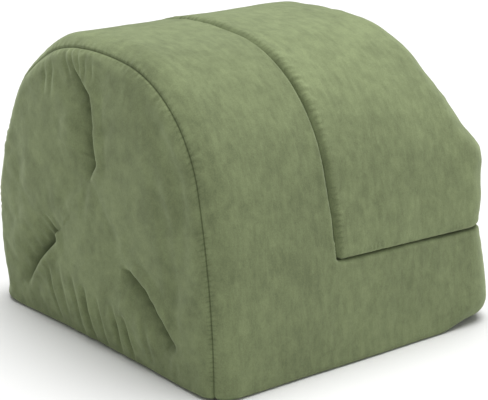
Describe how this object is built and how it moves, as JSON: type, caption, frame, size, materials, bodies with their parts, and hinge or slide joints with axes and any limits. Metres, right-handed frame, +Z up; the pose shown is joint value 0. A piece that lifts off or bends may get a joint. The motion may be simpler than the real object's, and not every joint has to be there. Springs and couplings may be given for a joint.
{
  "type": "camp pillow",
  "caption": "Arched foam camp pillow in a microsuede cover: a stepped base with stitched tucks in one end, and a cushion that lifts off the step.",
  "frame": {"origin": "centre of the underside, where the pillow rests", "axes": "+X along the arch from the tucked end to the stepped end, -Y the front long side, +Z up"},
  "size_m": [0.308, 0.3359, 0.257],
  "materials": {
    "wrap_microsuede": "matte",
    "end_microsuede": "matte",
    "underside_cloth": "matte",
    "foam": "matte",
    "wadding": "matte",
    "touch_tape": "matte",
    "hook_tape": "matte",
    "thread": "matte",
    "zip_tape": "matte",
    "zip_coil": "satin",
    "zip_metal": "satin"
  },
  "bodies": {
    "base": {"arch_foam_block": "foam", "plinth_foam_block": "foam", "left_end_wadding": "wadding", "plinth_end_wadding": "wadding", "left_end_panel": "end_microsuede", "base_right_panel": "end_microsuede", "base_bottom_panel": "underside_cloth", "step_panel": "wrap_microsuede", "base_wrap_panel": "wrap_microsuede", "loop_tape": "touch_tape", "tuck_stitching": "thread", "base_zip_tapes": "zip_tape", "base_zip_coil": "zip_coil", "base_zip_stops": "zip_metal"},
    "cushion": {"cushion_foam_block": "foam", "cushion_end_wadding": "wadding", "cushion_inner_panel": "wrap_microsuede", "cushion_bottom_panel": "underside_cloth", "cushion_end_panel": "end_microsuede", "cushion_wrap_panel": "wrap_microsuede", "hook_tape": "hook_tape", "cushion_zip_tapes": "zip_tape", "cushion_zip_coil": "zip_coil", "cushion_zip_stops": "zip_metal"},
    "base_zip_slider": {"base_zip_slider": "zip_metal"},
    "base_zip_pull": {"base_zip_pull": "zip_metal"},
    "cushion_zip_slider": {"cushion_zip_slider": "zip_metal"},
    "cushion_zip_pull": {"cushion_zip_pull": "zip_metal"}
  },
  "joints": [
    {"name": "cushion_lift", "type": "slide", "parent": "base", "child": "cushion", "axis": [0, 0, 1], "range_m": [0, 0.2]},
    {"name": "base_zip_slide", "type": "slide", "parent": "base", "child": "base_zip_slider", "axis": [1, 0, 0], "range_m": [0, 0.203]},
    {"name": "base_zip_pull_hinge", "type": "hinge", "parent": "base_zip_slider", "child": "base_zip_pull", "pos_m": [-0.1015, 0.16891, 0.03624], "axis": [0, -0.049, 0.9988], "range_deg": [0, 150]},
    {"name": "cushion_zip_slide", "type": "slide", "parent": "cushion", "child": "cushion_zip_slider", "axis": [1, 0, 0], "range_m": [0, 0.111]},
    {"name": "cushion_zip_pull_hinge", "type": "hinge", "parent": "cushion_zip_slider", "child": "cushion_zip_pull", "pos_m": [-0.0035, 0.16147, 0.11072], "axis": [0, -0.1497, 0.9887], "range_deg": [0, 150]}
  ]
}
